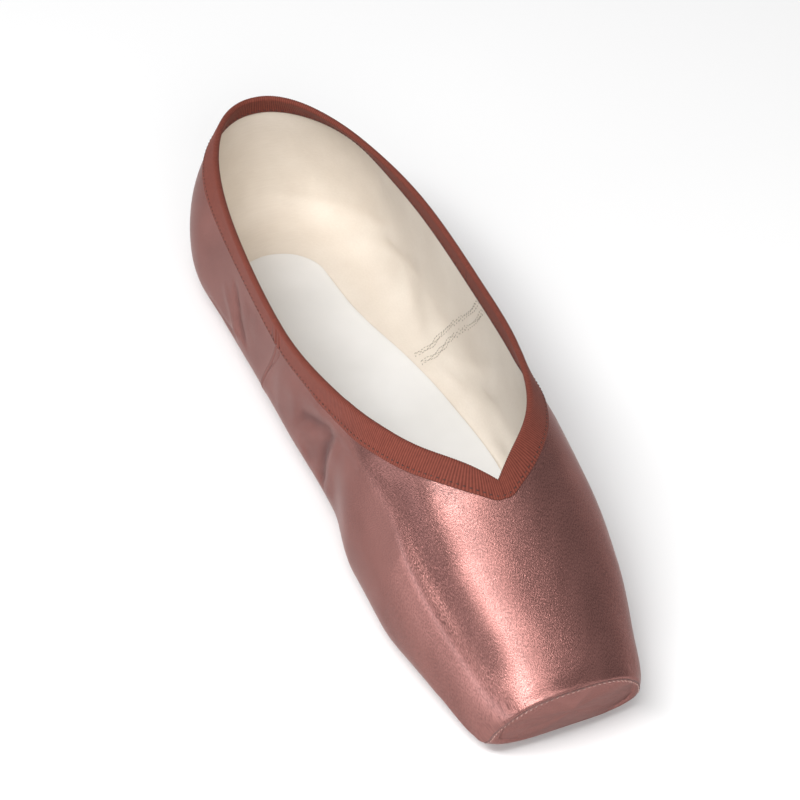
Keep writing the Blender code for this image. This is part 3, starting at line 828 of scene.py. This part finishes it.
def half_upper(side):
    """Outer points of one half of the satin, its inner points, its fabric coordinates and its painted
    crease shade.
    """
    rows = upper_rows(SEAM_STATIONS[side] + SEAM_ROWS)
    along, turn = half_grid(rows[rows < TOE - EDGE_ROUND - 0.2], side)
    last_turn = half_grid(np.array([TOE]), side)[1][0]
    radius = edge_radius(last_turn)
    inset = np.concatenate([np.zeros_like(along), radius * (1 - np.cos(EDGE_BENDS))[:, None]])
    along = np.concatenate([along, TOE - radius * (1 - np.sin(EDGE_BENDS))[:, None]])
    turn = np.concatenate([turn, np.tile(last_turn, (len(EDGE_BENDS), 1))])
    point, _forward, _around, normal = skin_frame(along, turn, side)
    relief = outer_relief(along, turn, point, side)
    outer = pinned(point + normal * (relief - inset)[..., None], turn)
    depth = SATIN_SHARE * wall_at(along, point, side) + inset + wall_bend(point, side)
    inner = pinned(point - normal * depth[..., None], turn)
    rim = outer[-1]
    middle = (rim[0] + rim[-1]) / 2
    panel = middle + (rim - middle) * PANEL_SHARES[..., None]
    groove = SEAM_DEPTH * smooth(*SEAM_SUNK, last_turn) * smooth(0.9, 0.965, PANEL_SHARES)
    panel[..., 1] += groove - PLATFORM_DOME * (1 - PANEL_SHARES ** 2)
    backs = panel + np.array([0.0, PANEL_WALL, 0.0]) + (middle - panel) * PANEL_NARROWING
    inner[-1] = backs[0]
    outer = np.concatenate([outer, panel])
    inner = np.concatenate([inner, backs])
    # painted shade mask: how much colour the deeper troughs lose, as shade in the creases
    painted_crease_shade = np.clip((-relief - PAINTED_SHADE_START) / PAINTED_SHADE_DEPTH, 0.0, 1.0)
    painted_crease_shade = np.pad(painted_crease_shade, ((0, len(panel)), (0, 0)))
    cloth = (lengths_along(outer, 0) * MM, lengths_along(outer, 1) * side * MM, painted_crease_shade)
    return outer, inner, np.stack(cloth, -1), side


def add_inner_face(bm, inner_layer, cloth_layer):
    """Gives an open surface its inner face and the rims between the two."""
    outer_faces = list(bm.faces)
    rims = [edge for edge in bm.edges if edge.is_boundary]
    twins = {vert: bm.verts.new(vert[inner_layer]) for vert in list(bm.verts)}
    for face in outer_faces:
        back = bm.faces.new([twins[vert] for vert in reversed(face.verts)])
        uvs = [loop[cloth_layer].uv.copy() for loop in reversed(face.loops)]
        for loop, uv in zip(back.loops, uvs):
            loop[cloth_layer].uv = uv
    for edge in rims:
        loop = edge.link_loops[0]
        start, end = loop.vert, loop.link_loop_next.vert
        rim = bm.faces.new((end, start, twins[start], twins[end]))
        uv_start, uv_end = loop[cloth_layer].uv, loop.link_loop_next[cloth_layer].uv
        for rim_loop, uv in zip(rim.loops, (uv_end, uv_start, uv_start, uv_end)):
            rim_loop[cloth_layer].uv = uv


def shell(name, halves, material, weld=0.02):
    """Closed piece from grids, each given as (outer points, inner points, cloth, side).

    The inner points of a piece that is closed by itself are None. Cloth holds the fabric's coordinates
    and, on the satin, the share of painted shade in its creases; it is None where neither is read.
    """
    bm = bmesh.new()
    inner_layer = bm.verts.layers.float_vector.new("inner")
    cloth_layer = bm.loops.layers.uv.new("cloth")
    painted_shade_layer = bm.verts.layers.float.new("painted_crease_shade")
    for outer, inner, cloth, side in halves:
        rows, count = outer.shape[:2]
        if cloth is None:
            cloth = np.zeros((rows, count, 2))
        verts = [bm.verts.new(point) for point in outer.reshape(-1, 3).tolist()]
        if inner is not None:
            for vert, point in zip(verts, inner.reshape(-1, 3).tolist()):
                vert[inner_layer] = point
        # the satin's painted crease shade goes into a vertex layer
        if cloth.shape[-1] > 2:
            for vert, depth in zip(verts, cloth[..., 2].ravel().tolist()):
                vert[painted_shade_layer] = depth
        flat = cloth[..., :2].reshape(-1, 2).tolist()
        for i in range(rows - 1):
            for j in range(count - 1):
                first = i * count + j
                corners = (first, first + count, first + count + 1, first + 1)
                if side < 0:
                    corners = corners[::-1]
                face = bm.faces.new([verts[k] for k in corners])
                for loop, k in zip(face.loops, corners):
                    loop[cloth_layer].uv = flat[k]
    bmesh.ops.remove_doubles(bm, verts=bm.verts, dist=weld)
    if halves[0][1] is not None:
        add_inner_face(bm, inner_layer, cloth_layer)
    bm.verts.layers.float_vector.remove(inner_layer)
    mesh = smooth_mesh(name, bm)
    mesh.materials.append(material)
    mesh.set_sharp_from_angle(angle=SHARP_ANGLE)
    return in_scene(name, mesh)


satin_upper = shell("satin_upper", both(half_upper), SATIN)


# ---------------------------------------------------------------- lining
LINING_END = TOE - 5.0
LINING_GAP = 0.03          # share of the wall between the satin and the lining
LINING_BEND = 1.25         # the lining bends this much more than the satin under a deep fold
LINING_SINK = 0.35         # share of the wall that the lining's folds may sink into
LINING_RISE = 1.4
FRONT_SHARES = np.array([0.9, 0.75, 0.5, 0.25, 0.0])[:, None, None]


def lining_depth(along, point, side):
    """How far the lining's face lies under the outside, and the wall's thickness there."""
    wall = wall_at(along, point, side)
    relief = np.clip(fold_relief(point, LINING_FOLDS, side), -LINING_SINK * wall, LINING_RISE)
    return wall + relief, wall


def half_lining(side):
    """Outer points of one half of the lining, its inner points and its fabric coordinates."""
    rows = upper_rows()
    along, turn = half_grid(rows[rows < LINING_END][::2], side)
    along, turn = along[:, ::2], turn[:, ::2]
    point, _forward, _around, normal = skin_frame(along, turn, side)
    depth, wall = lining_depth(along, point, side)
    bend = LINING_BEND * wall_bend(point, side)
    closed = []
    for below, ahead in ((wall * (SATIN_SHARE + LINING_GAP), 1.0), (depth, 0.0)):
        grid = pinned(point - normal * (below + bend)[..., None], turn)
        rim = grid[-1]
        middle = (rim[0] + rim[-1]) / 2
        forward = np.array([0.0, -1.0, 0.0]) * (ahead + 1 - FRONT_SHARES)
        closed.append(np.concatenate([grid, middle + (rim - middle) * FRONT_SHARES + forward]))
    outer, inner = closed
    cloth = np.stack([outer[..., 1], lengths_along(outer, 1) * side], -1) * MM
    return outer, inner, cloth, side


lining = shell("lining", both(half_lining), LINING)


# ---------------------------------------------------------------- binding tape
RIB_COUNT = 290            # ribs of the tape on each side of the shoe
RIB_POINTS = 4
RIB_HEIGHT = 0.10
OUTER_OFFSET = 0.50
INNER_OFFSET = 0.40
EDGE_OFFSET = (OUTER_OFFSET + INNER_OFFSET) / 2
TAPE_REST = 0.06           # gap under the tape
EDGE_RISE = 0.85
OUTER_LIP = ((0.10, 0.18, 0.1), (0.05, 0.38, 0.4))   # (past the tape's width, offset, ribbed)
INNER_LIP = ((0.05, 0.30, 0.4), (0.10, 0.15, 0.1))
LIP = 0.15                 # the tape's flat faces stop this far short of its width
TIP_NARROWING = 0.34
TIP_ROUND = 2.8            # length before the throat over which the tape narrows to a round tip
TAPE_TURN = 11.0           # length before the throat over which the tape swings to point forward


def nearest_skin(along, turn, target, side, rounds=8, stride=4.0, swing=10.0):
    """Station and turn of the outside's points that are nearest to others."""
    for _ in range(rounds):
        point, forward, around, _normal = skin_frame(along, turn, side)
        gap = target - point
        ff, aa = (forward * forward).sum(-1), (around * around).sum(-1)
        fa = (forward * around).sum(-1)
        gf, ga = (gap * forward).sum(-1), (gap * around).sum(-1)
        size = np.maximum(ff * aa - fa * fa, 1e-9)
        along = along + np.clip((gf * aa - ga * fa) / size, -stride, stride)
        turn = turn + np.clip((ga * ff - gf * fa) / size, -swing, swing)
    return along, turn


def collar_lines(side, count, nudge=0.25):
    """Even steps along the collar's edge: stations, turns, points, facing, and the tape's way."""
    dense = np.concatenate([np.linspace(HEEL_BACK, 0, 300, endpoint=False),
                            np.linspace(0, THROAT, 1200)])
    run = lengths_along(skin(dense, collar_turn(dense), side))
    along = np.interp(np.linspace(0, run[-1], count), run, dense)
    turn = collar_turn(along)
    edge, forward, around, normal = skin_frame(along, turn, side)
    ahead = np.minimum(along + nudge, THROAT)
    behind = ahead - 2 * nudge
    step = skin(ahead, collar_turn(ahead), side) - skin(behind, collar_turn(behind), side)
    down = unit(np.cross(normal, step))
    down = down * np.sign((down * around).sum(-1))[:, None]
    swing = smooth(THROAT - TAPE_TURN, THROAT, along)[:, None]
    return along, turn, edge, normal, unit(down * (1 - swing) + unit(forward) * swing)


def tape_points(side, count, legs):
    """Points along the tape for each leg of its profile, and the outward facing under them.

    A leg is (distance below the edge, whether outside, offset). Over the edge it is
    (minus its height above the edge, None, its place from -1 inside to 1 outside).
    """
    along, turn, edge, normal, down = collar_lines(side, count)
    before_tip = np.clip((THROAT - along) / TIP_ROUND, 0.0, 1.0)[:, None]
    narrowing = 1 - TIP_NARROWING * (1 - before_tip) ** 2
    columns = []
    facings = []
    for distance, outside, offset in legs:
        wall = pressed_wall(along, max(distance, 0.0))[:, None]
        foot, facing, relief = edge + down * min(distance, 0.0), normal, 0.0
        if distance > 0:
            station, around = nearest_skin(along, turn, edge + down * distance * narrowing, side)
            foot, _forward, _around, facing = skin_frame(station, around, side)
            if outside:
                relief = outer_relief(station, around, foot, side)[:, None]
        if outside is None:
            column = foot + normal * (offset * (wall / 2 + EDGE_OFFSET) - wall / 2)
        elif outside:
            column = foot + facing * (relief + offset)
        else:
            column = foot - facing * (wall + offset)
        columns.append(column)
        facings.append(facing)
    points = np.stack(columns, 1)
    points[(0, -1), :, 0] = 0.0
    return points, np.stack(facings, 1)


def tape_profile():
    """Closed ring of the tape's legs, and how far each takes part in the ribs, from 0 to 1."""
    legs = [(distance, True, TAPE_REST, 0.0) for distance in np.linspace(0.0, TAPE_OUTSIDE, 6)]
    legs += [(TAPE_OUTSIDE + past, True, offset, ribbed) for past, offset, ribbed in OUTER_LIP]
    legs += [(distance, True, OUTER_OFFSET, 1.0)
             for distance in np.linspace(TAPE_OUTSIDE - LIP, 0.0, 12)]
    legs += [(-EDGE_RISE * math.sin(angle), None, math.cos(angle), 1.0)
             for angle in np.linspace(0, math.pi, 8)[1:-1]]
    legs += [(distance, False, INNER_OFFSET, 1.0)
             for distance in np.linspace(0.0, TAPE_INSIDE - LIP, 8)]
    legs += [(TAPE_INSIDE + past, False, offset, ribbed) for past, offset, ribbed in INNER_LIP]
    legs += [(distance, False, TAPE_REST, 0.0) for distance in np.linspace(TAPE_INSIDE, 0.0, 4)]
    return [leg[:3] for leg in legs], [leg[3] for leg in legs]


def make_tape():
    """Ribbed tape folded over the collar's edge, from the heel's back to the throat's tip."""
    legs, ribbed = tape_profile()
    bm = bmesh.new()
    run_layer = bm.verts.layers.float.new("tape_run")
    ribbed_layer = bm.verts.layers.float.new("tape_ribbed")
    for side in (1, -1):
        points, _facing = tape_points(side, RIB_COUNT * RIB_POINTS + 1, legs)
        rings = []
        for i, row in enumerate(points.tolist()):
            ring = [bm.verts.new(point) for point in row]
            for vert, share in zip(ring, ribbed):
                vert[run_layer] = i / RIB_POINTS
                vert[ribbed_layer] = share
            rings.append(ring)
        for ring, following in zip(rings, rings[1:]):
            for j in range(len(legs)):
                k = (j + 1) % len(legs)
                bm.faces.new((ring[j], ring[k], following[k], following[j]))
    bmesh.ops.remove_doubles(bm, verts=bm.verts, dist=0.01)
    tape = in_scene("binding_tape", smooth_mesh("binding_tape", bm))
    return grown(tape, RIB_TREE, Pitch=1.0, Height=RIB_HEIGHT * MM, Tape=TAPE)


binding_tape = make_tape()


# ---------------------------------------------------------------- stitches
STITCHED_OUTSIDE = 5.7     # how far below the collar's edge the tape is stitched
STITCHED_INSIDE = 4.4
STITCH_LIFT = 0.08


def tape_line(side, distance, outside, offset):
    """Line along the tape at a distance below the collar's edge."""
    legs = ((distance, outside, offset + STITCH_LIFT),)
    points, facing = tape_points(side, 420, legs)
    return points[:, 0], facing[:, 0] if outside else -facing[:, 0]


tape_stitches = sew("tape_stitches", both(tape_line, STITCHED_OUTSIDE, True, OUTER_OFFSET)
                    + both(tape_line, STITCHED_INSIDE, False, INNER_OFFSET),
                    spacing=1.9, length=0.9, width=0.42, thread=TAPE_THREAD)


def seam_line(side, beside, low, high):
    """Line on the satin next to a side seam, between two heights."""
    turn = np.linspace(80.0, 150.0, 160)
    along = leaned(np.full_like(turn, SEAM_STATIONS[side] + beside), turn, side)
    point, _forward, _around, normal = skin_frame(along, turn, side)
    kept = (point[:, 2] > low) & (point[:, 2] < high)
    raised = outer_relief(along, turn, point, side)[:, None]
    return (point + normal * raised)[kept], normal[kept]


seam_stitches = sew("seam_stitches", both(seam_line, -0.9, 12.0, 44.0), spacing=1.6,
                    length=0.9, width=0.26, thread=DARK_THREAD)


def platform_line(beyond, lift, reach=SEAM_TURN):
    """Line beside the platform's seam, from its left end over the top to its right end."""
    turns = np.linspace(0.0, reach, 110)
    halves = []
    for side in (-1, 1):
        point, facing = across_edge(turns, side, seam_distance(turns) + beyond)
        halves.append((point + facing * lift, facing))
    return [np.concatenate([left[::-1], right[1:]]) for left, right in zip(*halves)]


def cord_along(name, line, radius, material, sides=8):
    """Closed thin round cord that follows a line of points, tapered at its ends."""
    points, facing = line
    across = unit(np.cross(unit(np.gradient(points, axis=0)), facing))
    angles = np.linspace(0, 2 * math.pi, sides, endpoint=False)[None, :, None]
    place = np.arange(len(points))
    thin = radius * smooth(0, 6, np.minimum(place, place[::-1]))
    rings = (points[:, None] + thin[:, None, None]
             * (np.cos(angles) * across[:, None] + np.sin(angles) * facing[:, None]))
    rings = np.concatenate([rings, rings[:, :1]], axis=1)
    return shell(name, [(rings, None, None, 1)], material, weld=0.004)


platform_seam = cord_along("platform_seam", platform_line(0.0, -0.02), 0.2, DARK_THREAD)
platform_stitches = sew("platform_stitches", [platform_line(0.62, 0.0, 112.0)], spacing=1.5,
                        length=1.0, width=0.22, thread=SATIN_THREAD)


def lining_line(side, shift, turns, zigzag=1.1, lift=0.03):
    """Zigzag line down the lining beside a side seam."""
    along = SEAM_STATIONS[side] + shift + zigzag * (-1.0) ** np.arange(len(turns))
    along = leaned(along, turns, side)
    point, _forward, _around, normal = skin_frame(along, turns, side)
    depth, _wall = lining_depth(along, point, side)
    return point - normal * (depth + lift)[:, None], -normal


seam_turns = np.concatenate([np.linspace(81, 90, 26)[:-1], np.linspace(90, 176, 34)])
lining_stitches = sew("lining_stitches", both(lining_line, -2.2, seam_turns)
                      + both(lining_line, 2.2, seam_turns),
                      spacing=1.5, length=0.8, width=0.3, thread=LINING_THREAD)


# ---------------------------------------------------------------- insole and outsole
BOARD_ROWS, BOARD_COLUMNS = 90, 22
BOARD_BEVEL = 0.5
BOARD_WAVE = 0.14


def make_insole():
    """Board with rounded ends and edges, its face slightly uneven."""
    span = INSOLE_END - INSOLE_START
    distance = span * (1 - np.cos(np.linspace(0, math.pi, BOARD_ROWS))) / 2
    along = INSOLE_START + distance
    half = (INSOLE.at("half", along) * rounded_end(distance, INSOLE_HEEL_ROUND)
            * rounded_end(span - distance, INSOLE_TOE_ROUND))
    station = np.maximum(along, 0.0)
    bottom = LAST.at("base_z", station) + WALL.at("thickness", along) + FIT_GAP
    outs = -np.cos(np.linspace(0, math.pi, BOARD_COLUMNS))
    rings = []
    for out, face in [(out, 1) for out in outs] + [(out, -1) for out in outs[::-1]]:
        edge = np.minimum(1.0, (1 - abs(out)) * np.maximum(half, 1e-6) / BOARD_BEVEL)
        lift = INSOLE_THICKNESS * (1 + face * np.sqrt(1 - (1 - edge) ** 2)) / 2
        x = out * half - INSOLE.at("shift", along)
        if face > 0:
            lift = lift + BOARD_WAVE * np.sin(along / 11.0 + 1.2) * np.cos(x / 9.0)
        ring = lay_out(station, x, bottom + lift)
        ring[:, 1] += np.maximum(0.0, -along)
        rings.append(ring)
    points = np.stack(rings + rings[:1], 1)
    return shell("insole_board", [(points, None, None, 1)], BOARD)


insole_board = make_insole()

FILL_START, FILL_END = 15.0, 173.0
FILL_MARGIN = 0.5
FILL_WIDEST = 0.6          # share of the outsole's half width that the filler may take
SLENDER = 8.0              # where the outsole is narrower than this, its channel shrinks with it
CHANNEL_IN = 3.2           # distance of the stitched channel from the outsole's edge
CHANNEL_DEPTH = 0.5
CHANNEL_LEGS = ((-0.7, 0.0), (-0.25, 1.0), (0.25, 1.0), (0.7, 0.0))   # (across, share of depth)
LOW_ROUND, HIGH_ROUND = 0.9, 0.5     # of the outsole's lower and upper edges


def outsole_half(along):
    return OUTSOLE.at("half", along) * rounded_end(OUTSOLE_END - along, OUTSOLE_END_ROUND)


def channel_out(half):
    """Distance of the stitched channel from the shoe's middle."""
    return np.maximum(half - CHANNEL_IN, half * 0.5)


def half_outsole(side):
    """One half of the outsole, from under its middle round its edge to the middle of its top."""
    bend = np.sin(np.linspace(0, math.pi / 2, 22))
    rows = np.unique(np.concatenate([
        heel_rows(24), np.linspace(0, OUTSOLE_END - OUTSOLE_END_ROUND, 90),
        [FILL_START - 1, FILL_END + 1], OUTSOLE_END - OUTSOLE_END_ROUND * (1 - bend)]))
    half = outsole_half(rows)
    top = LAST.at("base_z", rows) - FIT_GAP
    bottom = top - OUTSOLE_THICKNESS
    filled = (rows >= FILL_START) & (rows <= FILL_END)
    fill_top = top + np.where(filled, FIT_GAP + WALL.at("thickness", rows), 0.0)
    raised = np.minimum(np.clip(under_half(rows) - FILL_MARGIN, 0.2, None), half * FILL_WIDEST)
    channel = channel_out(half)
    slender = np.minimum(1.0, half / SLENDER)
    low, high = np.minimum(LOW_ROUND, half / 3), np.minimum(HIGH_ROUND, half / 3)
    legs = [((channel + CHANNEL_LEGS[0][0]) * share, bottom)
            for share in np.linspace(0, 1, 7)[:-1]]
    legs += [(channel + across * slender, bottom + CHANNEL_DEPTH * depth * slender)
             for across, depth in CHANNEL_LEGS]
    legs += [(half - low * (1 - math.sin(angle)), bottom + low * (1 - math.cos(angle)))
             for angle in np.radians([0, 30, 60, 90])]
    legs += [(half - high * (1 - math.cos(angle)), top - high * (1 - math.sin(angle)))
             for angle in np.radians([0, 45, 90])]
    legs += [(np.maximum(raised, half * (FILL_WIDEST + 0.01)), top), (raised, top),
             (raised - np.minimum(FIT_GAP, raised / 2), fill_top),
             (np.zeros_like(rows), fill_top)]
    points = np.stack([lay_out(rows, out, height, side) for out, height in legs], 1)
    points[0, :, 0] = 0.0
    points[:, (0, -1), 0] = 0.0
    return points, None, None, -side


leather_outsole = shell("leather_outsole", both(half_outsole), LEATHER, weld=0.01)


def sole_line(side):
    """Line along the outsole's channel."""
    along = np.concatenate([heel_rows(30), np.linspace(0, OUTSOLE_END - 6, 120)])
    height = LAST.at("base_z", along) - FIT_GAP - OUTSOLE_THICKNESS + CHANNEL_DEPTH * 0.6
    line = lay_out(along, channel_out(outsole_half(along)), height, side)
    return line, np.tile((0.0, 0.0, -1.0), (len(line), 1))


sole_stitches = sew("sole_stitches", both(sole_line), spacing=3.4, length=2.6, width=0.45,
                    thread=SOLE_THREAD)


# ---------------------------------------------------------------- frame, camera and light
for piece, cad_node, slot in ((satin_upper, "upper", "satin"), (lining, None, None),
                              (binding_tape, "collar_binding", "tape"),
                              (insole_board, "insole", "board"),
                              (leather_outsole, "outsole", "sole_leather"),
                              (tape_stitches, None, None), (platform_stitches, None, None),
                              (seam_stitches, None, None), (platform_seam, None, None),
                              (lining_stitches, None, None), (sole_stitches, None, None)):
    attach(piece, "root")
    if cad_node:
        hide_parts(cad_node)

FLOOR_REACH = 6.0
floor_mesh = bpy.data.meshes.new("floor")
floor_corners = [(x * FLOOR_REACH, y * FLOOR_REACH, 0) for x, y in ((-1, -1), (1, -1), (1, 1), (-1, 1))]
floor_mesh.from_pydata(floor_corners, [], [(0, 1, 2, 3)])
floor_mesh.materials.append(new_finish("pale floor", 0.9, Base_Color=(0.94, 0.94, 0.94, 1.0))[0])
floor = in_scene("floor", floor_mesh)


def aimed(place, aim, spin):
    """Where an object stands that looks from one place to another, turned about its view."""
    looking = (aim - place).to_track_quat("-Z", "Y").to_matrix().to_4x4()
    return Matrix.Translation(place) @ looking @ Matrix.Rotation(math.radians(spin), 4, "Z")


CAMERA_PLACE = Vector((-221.5, -535.3, 575.3))
CAMERA_AIM = Vector((0.0, -2.0, 26.0))
CAMERA_ROLL = -0.2
camera = in_scene("camera", bpy.data.cameras.new("camera"))
camera.matrix_world = aimed(CAMERA_PLACE * MM, CAMERA_AIM * MM, CAMERA_ROLL)
camera.data.lens = 122.0
camera.data.clip_start = 0.05
bpy.context.scene.camera = camera

LIGHTS = (
    # name, place and aim in metres, size, power, turn, colour
    ("overhead", (-0.57, -0.37, 1.25), (0.0, -0.06, 0.0), (0.28, 1.1), 17.0, -69.5, (1, 1, 1)),
    ("low_left", (-1.3, -0.1, 0.14), (0.0, -0.05, 0.03), (0.9, 0.24), 5.2, 0.0, (0.95, 0.96, 1)),
    ("front", (-0.3, -1.2, 0.9), (0.0, 0.05, 0.03), (1.0, 0.6), 8.2, 0.0, (1, 1, 1)),
)
for name, place, aim, size, power, spin, colour in LIGHTS:
    light = in_scene(name, bpy.data.lights.new(name, "AREA"))
    light.matrix_world = aimed(Vector(place), Vector(aim), spin)
    light.data.shape = "RECTANGLE"
    light.data.size, light.data.size_y = size
    light.data.energy = power
    light.data.color = colour

world = bpy.data.worlds.new("studio")
world.use_nodes = True
world.node_tree.nodes["Background"].inputs["Color"].default_value = (1.0, 1.0, 1.0, 1.0)
world.node_tree.nodes["Background"].inputs["Strength"].default_value = 0.33
bpy.context.scene.world = world
bpy.context.scene.view_settings.view_transform = "Standard"
